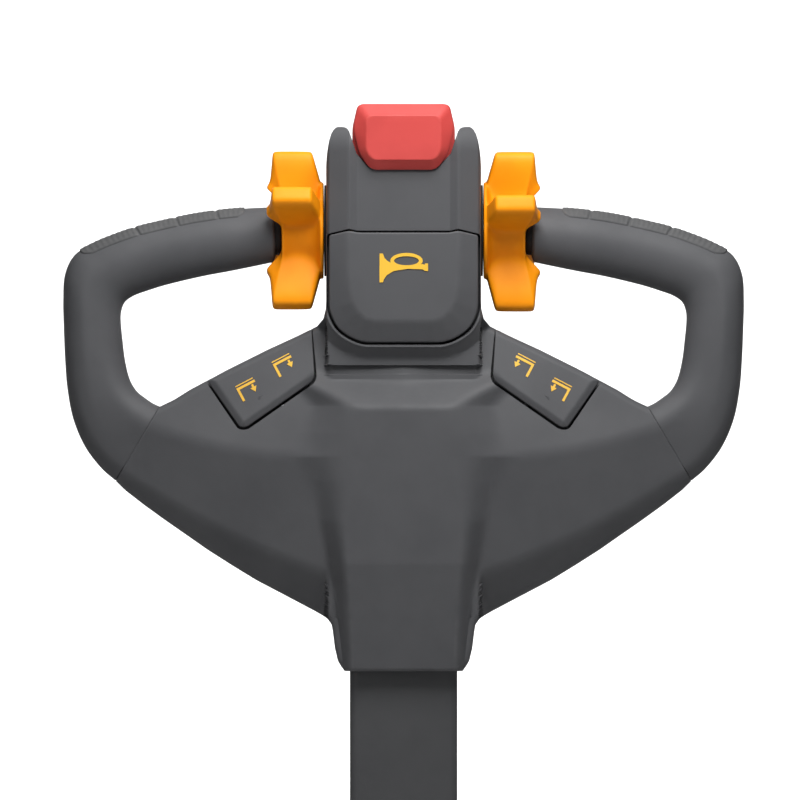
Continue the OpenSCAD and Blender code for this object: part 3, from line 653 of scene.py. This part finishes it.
EAR_TOP = [(19.5, 281.2), (26.2, 288.5), (30.2, 300.6), (31.2, 302.2), (32.4, 303.1), (34.5, 303.5),
           (37, 303.5), (38.8, 302.2), (40.3, 299.6), (41.5, 295.8), (42.4, 290.8), (42.9, 286.4),
           (43.2, 281.5)]
NOTCH = 281.2        # bottom of the notch between the ears
EAR_TIP = 303.5      # highest line of the ears
WELL_HALF = 29.4     # half the width of the hole behind the notch


def console_height(x):
    """Top of the console at a distance from its middle: level in the notch, rounded over each ear."""
    return np.interp(np.abs(x), [0] + [p[0] for p in EAR_TOP], [NOTCH] + [p[1] for p in EAR_TOP])


def cover_depth(x):
    """Depth of the cover across it: a flat middle, a rise to the crest on each side, a facet falling back."""
    return np.interp(np.abs(x), [0, 25.8, 28.4, 29.6, 30.2, 31.4, 41.4, 42.6, 43.2],
                     [36.4, 36.4, 37.7, 38.35, 38.6, 38.2, 33.4, 31.6, 28.6])


def cover_foot(x):
    """Height of the cover's lower edge, cut along a plane that climbs half as fast as it comes forward."""
    return np.maximum(246.3 - 0.5 * (38.6 - cover_depth(x)), SEAM_TOP)


def front_console(x, h):
    """Depth of the cover, less the lean of each ear's top and a small round at its lower edge."""
    lean = 10.0 * roll(EAR_TIP - h, 13.5) * ease((np.abs(x) - 26) / 5)
    lean = np.maximum(lean, 1.2 * roll(console_height(x) - h, 1.2))
    return cover_depth(x) - np.maximum(lean, 0.5 * roll(h - cover_foot(x), 0.5))


def well():
    """The hole between the ears that the belly button's block slides in."""
    corners = [(-WELL_HALF, 269), (WELL_HALF, 269), (WELL_HALF, 320), (-WELL_HALF, 320)]
    return prism(rounded(corners, 0.5), -30.3, 33.0)


def back_console(x, h):
    """Depth of the console's back: flat with sloping sides and a rounded top edge."""
    x = np.abs(x)
    d = smooth_min(33.0 + 0 * x, 26 + 1.02 * (43.2 - x), 2.5)
    lean = 9.0 * roll(EAR_TIP - h, 12.5) * ease((x - 26) / 5)
    lean = np.maximum(lean, 1.2 * roll(console_height(x) - h, 1.2))
    return d - np.maximum(lean, 0.5 * roll(h - SEAM_TOP, 0.5))


def console_half(depth, split, foot):
    """Half of the console above its seam: one ring for each distance across, which runs up the face to the
    top, back over the top, down at the split and forward below."""
    across = np.concatenate([np.linspace(0, 24, 26), np.linspace(24.6, 29.5, 12), np.linspace(29.8, 40.3, 26),
                             np.linspace(40.6, 42.9, 8), [19.5, 26.2, 30.2, 43.05, 43.2]])
    across = np.unique(np.round(across, 3))
    across = np.concatenate([-across[:0:-1], across])
    up = np.concatenate([[0, 0.003, 0.007, 0.012], np.linspace(0.02, 0.7, 34),
                         1 - 0.3 * (1 - np.sin(np.pi / 2 * np.linspace(0, 1, 26)[1:]))])
    top, low_edge = console_height(across)[:, None], foot(across)[:, None]
    h = low_edge + up[None, :] * (top - low_edge)
    x = across[:, None] + 0 * h
    d = depth(x, h)
    face = np.stack([x, d, h], -1)
    def row(fraction, height):
        return np.stack([x[:, 0], split + (d[:, -1] - split) * fraction, height], -1)
    lid = np.stack([row(f, top[:, 0]) for f in (0.66, 0.33, 0.0)], 1)
    low = np.stack([np.stack([x[:, 0], split + 0 * x[:, 0], (low_edge + (top - low_edge) * f)[:, 0]], -1)
                    for f in (0.66, 0.33, 0.0)], 1)
    return loft(np.concatenate([face, lid, low], 1))


def build_cover():
    piece("console_cover_skin", [console_half(front_console, 0.25, cover_foot)], "head", "housing",
          ["console_cover"], [well()])


# ---------------------------------------------------------------- panels

def panel(ring, depth, skirt, under_at=None, rings=46, lip=0.8):
    """A push panel over a ring: circles of points shrink from the rim to the middle and take their depth
    from the panel's surface, less a quarter round at the rim; below the rim a straight skirt."""
    ring = np.asarray(ring, float)
    middle = ring.mean(0)
    near = 1 - np.concatenate([np.array([0, 0.05, 0.12, 0.22, 0.36, 0.55, 0.8, 1.15]) * lip,
                               np.linspace(1.6 * lip, 24, rings)]) / 24
    rho = near[:, None, None]
    flat = middle + (ring - middle)[None] * rho
    x, h = flat[..., 0], flat[..., 1]
    closed = np.concatenate([ring, ring[:1]])
    d = depth(x, h) - lip * roll(to_line(x, h, closed), lip)
    top = np.stack([x, d, h], -1)[::-1]
    edge = top[-1]
    base = np.broadcast_to(skirt(ring[:, 0], ring[:, 1]), len(ring))
    walls = [np.stack([ring[:, 0], edge[:, 1] * (1 - t) + base * t, ring[:, 1]], -1) for t in (0.5, 1.0)]
    below = under_at(ring[:, 0], ring[:, 1]) if under_at else base
    across, up = (ring - middle).T
    under = [np.stack([middle[0] + across * s, b, middle[1] + up * s], -1)
             for s, b in ((0.95, base), (0.93, below), (0.2, below))]
    return loft(np.concatenate([top, np.stack(walls + under)]))


PLATEAU = [(-30.2, 246.6), (-29.8, 226), (-28.9, 213), (-27.4, 206.5), (-24.4, 201), (-20.4, 197.4),
           (-16, 196.2), (16, 196.2), (20.4, 197.4), (24.4, 201), (27.4, 206.5), (28.9, 213),
           (29.8, 226), (30.2, 246.6)]


def horn_depth(x, h):
    """Depth of the horn panel: level inside its crest, then falling with the distance outside it."""
    outside = np.where(inside(x, h, PLATEAU), 0, to_line(x, h, PLATEAU + PLATEAU[:1]))
    fall = smooth_max(0.44 * outside - 0.35, 0 * outside, 0.9)
    return 38.4 - fall


def horn_rim(x, h):
    """The skirt's edge, further from the console at the foot so that the panel can tip in."""
    return 24.6 + 0.062 * np.clip(238 - h, 0, None)


def build_horn():
    skin = panel(HORN_RING, horn_depth, horn_rim, lip=0.9)
    piece("horn_panel_skin", [skin], "horn", "housing", ["horn_panel"])


def rocker_depth(x, h):
    """Depth of a rocker panel: level with the facet, a little proud, bevelled towards its two lower sides."""
    inwards = to_line(x, h, ROCKER[:4])
    fall = smooth_max(0.6 * (3.6 - inwards), 0 * inwards, 0.5)
    hand = HAND_ROUND * roll(to_line(x, h, HAND_SIDE), HAND_ROUND)
    return facet(x, h) + PANEL_RISE - np.maximum(fall, hand)


def rocker_skirt(x, h):
    """The skirt's edge: shallow round the pocket, deep along the open hand side."""
    return facet(x, h) - 1.4 - 5.1 * (to_line(x, h, HAND_SIDE) < 1.6)


def build_rockers():
    ring = rounded(ROCKER, [1.8, 3.2, 3.2, 3.2, 1.8], arc=7, run=12)
    skin = panel(ring, rocker_depth, rocker_skirt, lambda x, h: facet(x, h) - 1.4, rings=34, lip=0.7)
    piece("rocker_panel_right", [skin], "rocker_r", "housing", ["rocker_right"])
    piece("rocker_panel_left", [mirrored(skin)], "rocker_l", "housing", ["rocker_left"])


# ---------------------------------------------------------------- belly button

def build_belly():
    """The cap: rings of eight corners carried back in depth, from the front face over its bevels, in to the
    narrower block behind, and round its far end."""
    low, top = 279.0, 316.0
    brim = [(25.4, top), (28.2, 303), (24.9, 289), (18.4, 279.3)]
    brim_in = [(25.0, 315.2), (27.6, 303), (24.2, 288.6), (18.0, 280.0)]
    bridge = [(25.2, top), (26, 303), (22, 292.2), (17, 287.2)]
    block = [(25.6, top), (28.6, 303), (28.6, low + 3), (27, low)]
    def full(pairs):
        return pairs + [(-x, h) for x, h in pairs[::-1]]
    def ring(pairs, radius):
        return rounded(full(pairs), radius, arc=7, run=7)
    def scaled(pairs, by):
        return [(x * by, 297 + (h - 297) * by) for x, h in pairs]
    front = [(21.2, 309.8), (21.3, 301), (21.0, 289.5), (17.2, 284.4)]
    stations = [(43.2, scaled(front, 0.6), 4), (43.4, scaled(front, 0.95), 4),
                (43.2, scaled(front, 0.985), 4), (42.8, scaled(front, 1.01), 4),
                (38.9, brim_in, 4), (38.1, brim, 4), (37.2, brim, 4), (36.8, bridge, 3),
                (32.9, bridge, 3), (32.8, scaled(block, 0.98), 3), (32.1, block, 3), (0, block, 3),
                (-27, block, 3), (-29.1, scaled(block, 0.975), 3), (-29.8, scaled(block, 0.91), 3),
                (-29.8, scaled(block, 0.45), 3)]
    rings = []
    for depth, pairs, radius in stations:
        r = ring(pairs, radius)
        rings.append(np.stack([r[:, 0], depth + 0 * r[:, 0], r[:, 1]], -1))
    dense = np.concatenate([np.stack(rings)[:1], bend_stations(np.stack(rings))])
    piece("belly_cap", [loft(dense)], "belly", "button_plastic", ["belly_button"], sharp=50)


def bend_stations(rings, cuts=4):
    """Stations between the given rings, straight from each to the next, with a short curve at each."""
    rows = [rings[0]]
    for before, here, after in zip(rings[:-2], rings[1:-1], rings[2:]):
        gap_in = np.linalg.norm(here - before, axis=1, keepdims=True)
        gap_out = np.linalg.norm(after - here, axis=1, keepdims=True)
        reach = np.minimum(1.1, 0.45 * np.minimum(gap_in, gap_out))
        a = here + (before - here) / np.maximum(gap_in, 1e-6) * reach
        b = here + (after - here) / np.maximum(gap_out, 1e-6) * reach
        for t in np.linspace(0, 1, cuts):
            rows.append((1 - t) ** 2 * a + 2 * t * (1 - t) * here + t ** 2 * b)
    rows.append(rings[-1])
    return np.stack(rows)


# ---------------------------------------------------------------- grips

GRIP_PAIRS = np.array([
    (73.6, 259.2, 73.6, 228.2), (88, 258.5, 86, 225.6), (103, 257.2, 98, 223.2),
    (119, 254.8, 111, 220.8), (134, 251.6, 123.5, 218.0), (149, 248.0, 134.5, 215.2),
    (162, 243.6, 144, 212.2), (174, 238.6, 151, 209.6), (184.2, 232.4, 156.0, 206.0),
    (189.6, 221.5, 158.1, 200.6), (190.6, 207, 158.3, 194.5), (190.2, 190, 157.4, 185),
    (189.5, 173.6, 156, 173.6), (188.2, 157.5, 153.4, 163), (184.9, 140.5, 149.6, 156.4),
    (178.4, 125.2, 144.8, 152.4), (169.4, 113.2, 140.4, 149.4), (161, 105.8, 136.4, 147.5)])


def grip_section(s, phi):
    """Points of the grip at places s along it (0 at the wheel, 1 at the seam) and angles phi round it.
    The section spans from the outer line to the inner line; it is round on the bar, gains a blunt ridge
    in front on the upright leg, and takes the wing's own depths at the seam. Its sides are a power curve
    whose power rises from 2 to 4.5 towards the seam."""
    pairs = through(GRIP_PAIRS, 400)
    where = np.linspace(0, 1, 400)
    pair = np.stack([np.interp(s, where, pairs[:, k]) for k in range(4)], -1)
    outer, inner = pair[..., :2], pair[..., 2:]
    middle, reach = (outer + inner) / 2, (outer - inner) / 2
    leg = ease((s - 0.40) / 0.22)
    root = ease((s - 0.66) / 0.34)
    power = 2 / (2 + 0.7 * leg + 1.8 * root)
    c, q = np.cos(phi), np.sin(phi)
    across = np.sign(c) * np.abs(c) ** power
    lift = np.abs(q) ** power
    ax = middle[..., 0] + reach[..., 0] * across
    ah = middle[..., 1] + reach[..., 1] * across
    round_bar = 16.0 + 0 * across
    leg_front = 17.4 - 3.4 * np.clip(np.abs(across - 0.28) - 0.04, 0, None) ** 1.15
    seam_x, seam_h = 148.7 + 12.3 * across, 126.65 - 20.85 * across
    wing_f = front_depth(seam_x, seam_h)
    wing_b = back_depth(seam_x, seam_h)
    front = round_bar * (1 - leg) + leg_front * leg
    front = front * (1 - root) + wing_f * root
    back = (16.0 * (1 - leg) + 15.6 * leg) * (1 - root) + wing_b * root
    d = np.where(q >= 0, front * lift, -back * lift)
    return np.stack([ax, d, ah], -1)


def grip_skin():
    """The grip: rings round its section from a domed inner end to a flat end at the wing."""
    s = np.linspace(0, 1, 170)
    phi = np.linspace(0, 2 * np.pi, 96, endpoint=False)
    body = grip_section(s[:, None] + 0 * phi[None], phi[None] + 0 * s[:, None])
    middle = body[0].mean(0)
    along = np.array([-0.983, 0, 0.181])
    dome = [middle + (body[0] - middle) * np.cos(a) + along * 3.2 * np.sin(a)
            for a in np.radians([82, 68, 54, 42, 31, 21, 12, 5])]
    tail = body[-1] + np.array([0.35, 0, 0.2])
    last = body[-2] * 0.5 + body[-1] * 0.5
    centre = tail.mean(0)
    lip = centre + (tail - centre) * 0.985
    into_wing = np.array([-2.6, 0, -1.5])
    tongue = [centre + (tail - centre) * 0.975 + into_wing * 0.2, centre + (tail - centre) * 0.96 + into_wing]
    return loft(np.concatenate([np.stack(dome), body[:-1], [last], [lip], tongue]))


def strip_skin():
    """The soft strip on top of the bar: its height over the grip rises in a quarter round from a rounded
    outline and dips in a groove at each of its three notches; below, it sinks into the grip."""
    first, last = 0.062, 0.452
    s = np.linspace(first, last, 190)
    phi = np.linspace(-0.80, 0.80, 44)
    ss, pp = s[:, None] + 0 * phi[None], phi[None] + 0 * s[:, None]
    base = grip_section(ss, pp)
    core = grip_section(ss, pp * 0 + np.pi / 2)
    core = core * [1, 0, 1]
    out = base - core
    out /= np.linalg.norm(out, axis=-1, keepdims=True)
    length = np.linalg.norm(np.diff(core[:, 0], axis=0), axis=1)
    run = np.concatenate([[0], np.cumsum(length)])[:, None] + 0 * pp
    width = pp * 16.0
    total, wide = run.max(), width.max()
    inset_x = np.minimum(run, total - run)
    inset_y = wide - np.abs(width)
    corner = 6.0
    cx, cy = np.clip(corner - inset_x, 0, None), np.clip(corner - inset_y, 0, None)
    inner = np.where((cx > 0) & (cy > 0), corner - np.hypot(cx, cy), np.minimum(inset_x, inset_y))
    rise = 0.75 * (1 - roll(np.clip(inner, 0, None), 1.2)) - 0.5 * (inner <= 0.02)
    across = core[:, 0, 0][:, None] + 0 * pp
    for notch in (102.8, 123.5, 143.4):
        rise = rise - 0.75 * np.exp(-((across - notch + 0.10 * width) / 0.75) ** 2)
    ribs = 0.10 * np.cos(run * 2 * np.pi / 2.6) * np.clip(inner / 2.5, 0, 1)
    top = base + out * (rise + ribs)[..., None]
    under = base - out * 1.2
    rings = np.concatenate([top, under[:, ::-1]], 1)
    return loft(rings)


def build_grips():
    right, strip = grip_skin(), strip_skin()
    for side, turn in (("right", lambda s: s), ("left", mirrored)):
        piece("grip_skin_" + side, [turn(right)], "head", "housing", ["grip_" + side], sharp=55)
        piece("grip_strip_" + side, [turn(strip)], "head", "soft_insert", ["grip_insert_" + side], sharp=60)


# ---------------------------------------------------------------- throttle wheels

LOBES = ((92, 12.5, 44.4), (153.5, 11.5, 45.4), (250.5, 13.0, 46.0), (331, 12.0, 46.4))
# Sections of a wheel as (across, radius): between its lobes, and over a lobe
BARREL = [(44.7, 6.3), (44.7, 15), (44.7, 25.9), (44.9, 26.7), (45.6, 27.0), (46.4, 26.8), (46.9, 25.9),
          (47.5, 24.0), (48.6, 21.6), (50.4, 19.8), (53, 18.5), (56, 17.7), (59, 17.4), (62, 17.6),
          (65, 18.3), (66.6, 19.1), (67.5, 19.3), (67.9, 18.9), (68.0, 18.2), (68.0, 17.4), (68.0, 16.6),
          (68.0, 15.8), (67.9, 12), (67.9, 6.3), (60, 6.3), (52, 6.3)]
WINGED = [(44.7, 6.3), (44.7, 15), (44.7, 25.9), (44.9, 26.7), (45.6, 27.1), (46.5, 27.6), (46.9, 28.6),
          (47.8, 32.0), (49.0, 36.2), (50.1, 40.2), (50.9, 42.9), (51.7, 44.1), (53.0, 44.5), (60, 44.6),
          (70, 44.6), (72.2, 44.4), (73.1, 43.6), (73.5, 41.5), (74.2, 33), (74.8, 27.6), (76.8, 24.4),
          (75.8, 22.9), (67.9, 22.0), (67.9, 6.3), (60, 6.3), (52, 6.3)]


def wheel_skin(turn):
    """A thumb wheel: at each angle its section lies between a waisted barrel and a winged section, by a
    mask that rises over each of four lobes; angles go round the shaft, so the skin is a doughnut."""
    barrel = bend_profile(np.array(BARREL))
    winged = bend_profile(np.array(WINGED))
    angle = np.linspace(0, 360, 288, endpoint=False)
    mask = np.zeros_like(angle)
    reach = np.full_like(angle, 44.4)
    for at, wide, tip in LOBES:
        away = (angle - at + 180) % 360 - 180
        bump = 1 / (1 + np.abs(away / wide) ** 5)
        reach = np.where(bump > mask, tip, reach)
        mask = np.maximum(mask, bump)
    mask = mask[:, None]
    section = barrel[None] * (1 - mask[..., None]) + winged[None] * mask[..., None]
    grow = np.clip((section[..., 1] - 27) / 17.6, 0, None) * (reach[:, None] - 44.6) * mask
    x, r = section[..., 0], section[..., 1] + grow
    a = np.radians(angle - turn)[:, None]
    depth = -r * np.cos(a)
    return doughnut(np.stack([x, depth, SHAFT + r * np.sin(a)], -1))


def bend_profile(points, per=3):
    """A closed profile through the given points, smoothed by per - 1 rounds of corner cutting, two by default.
    """
    p = points
    for _ in range(per - 1):
        q = np.roll(p, -1, 0)
        p = np.stack([0.75 * p + 0.25 * q, 0.25 * p + 0.75 * q], 1).reshape(-1, 2)
    return p


def build_wheels():
    slot = "throttle_plastic"
    piece("thumb_wheel_left", [mirrored(wheel_skin(0))], "throttle", slot, ["throttle_wheel_left"], sharp=60)
    piece("thumb_wheel_right", [wheel_skin(-7)], "throttle", slot, ["throttle_wheel_right"], sharp=60)
    # Painted shade: the hub up to 12 mm is the real shaft seal, and the thin dark rubber disc out to 25.6 mm is
    # a painted shadow that darkens the gap between each wheel's flange and the console side.
    seal_with_gap_shade = turned([(40.4, 6.4), (40.4, 12), (43.3, 12), (43.3, 25.2), (43.7, 25.6), (44.2, 25.6),
                   (44.4, 25.2), (44.4, 6.4)])
    piece("seal_discs_painted_gap_shade", [seal_with_gap_shade, mirrored(seal_with_gap_shade)], "head", "seal_rubber", ["shaft_seals"], sharp=60)
    boot = turned([(68.3, 6.5), (68.3, 12.6), (68.8, 13.4), (70.2, 13.6), (72.6, 13.6), (72.6, 9.2),
                   (78, 9.2), (78, 6.5)])
    piece("end_boots", [boot, mirrored(boot)], "head", "seal_rubber", ["end_bushes"], sharp=60)


def turned(profile):
    """A ring turned about the shaft from a closed profile of (across, radius)."""
    x, r = np.array(profile).T
    a = np.radians(np.linspace(0, 360, 96, endpoint=False))[:, None]
    return doughnut(np.stack([x + 0 * a, -r * np.cos(a), SHAFT + r * np.sin(a)], -1))


# ---------------------------------------------------------------- scene

def dress_frame():
    """Each CAD node that still shows gets the finish of its slot in the record."""
    for name, obj in frame["nodes"].items():
        if not obj.hide_render:
            obj.data.materials.clear()
            obj.data.materials.append(PAINT[SLOT_OF[name]])


def build_stage():
    """A pale floor that curves up behind into a backdrop: a profile carried across."""
    z0 = CAD_BOX[0].z - 0.001
    bend = np.radians(np.linspace(-90, 0, 24))
    y, z = 5.0 + 2.0 * np.cos(bend), z0 + 2.0 + 2.0 * np.sin(bend)
    profile = np.concatenate([[(-9.0, z0)], np.stack([y, z], -1), [(7.0, z0 + 9.0)]])
    points = [(x, a, b) for x in (-9.0, 9.0) for a, b in profile]
    n = len(profile)
    faces = [(i, n + i, n + i + 1, i + 1) for i in range(n - 1)]
    mesh = bpy.data.meshes.new("studio_floor")
    mesh.from_pydata(points, [], faces)
    mesh.shade_smooth()
    obj = bpy.data.objects.new("studio_floor", mesh)
    bpy.context.scene.collection.objects.link(obj)
    material = bpy.data.materials.new("studio_paper")
    material.use_nodes = True
    shader = material.node_tree.nodes["Principled BSDF"]
    shader.inputs["Base Color"].default_value = (0.6, 0.6, 0.6, 1)
    shader.inputs["Roughness"].default_value = 0.9
    mesh.materials.append(material)


def add_light(name, place_at, aim, power, size):
    data = bpy.data.lights.new(name, "AREA")
    data.energy, data.size = power, size
    obj = bpy.data.objects.new(name, data)
    obj.location = place_at
    obj.visible_camera = False
    obj.rotation_euler = (Vector(aim) - Vector(place_at)).to_track_quat("-Z", "Y").to_euler()
    bpy.context.scene.collection.objects.link(obj)


def build_lights():
    aim = (0, 0, 0.3)
    add_light("key", (0.10, -0.50, 0.92), aim, 8.5, 0.45)
    add_light("top", (-0.2, -0.15, 1.6), aim, 4, 0.8)
    add_light("fill", (-1.6, -2.4, 1.2), aim, 9, 1.6)
    add_light("backdrop", (0, 3.2, 2.6), (0, 6, 0.5), 360, 2.4)
    bpy.context.scene.view_settings.view_transform = "Standard"
    world = bpy.data.worlds.new("studio")
    world.use_nodes = True
    world.node_tree.nodes["Background"].inputs["Color"].default_value = (1, 1, 1, 1)
    world.node_tree.nodes["Background"].inputs["Strength"].default_value = 0.1
    bpy.context.scene.world = world


def build_camera():
    """Square on to the head, far enough away that near and far edges keep their widths."""
    data = bpy.data.cameras.new("camera")
    away, field = 6.0, 0.448      # metres from the head, and metres seen across
    data.sensor_width = 36.0
    data.lens = 36.0 * away / field
    data.clip_end = 60
    camera = bpy.data.objects.new("camera", data)
    camera.location = (-0.002, -away, (NECK + 151.2) * MM)
    camera.rotation_euler = (np.pi / 2, 0, 0)
    bpy.context.scene.collection.objects.link(camera)
    bpy.context.scene.camera = camera


make_finishes()
build_shells()
build_cover()
build_horn()
build_rockers()
build_belly()
build_grips()
build_wheels()
dress_frame()
build_stage()
build_lights()
build_camera()
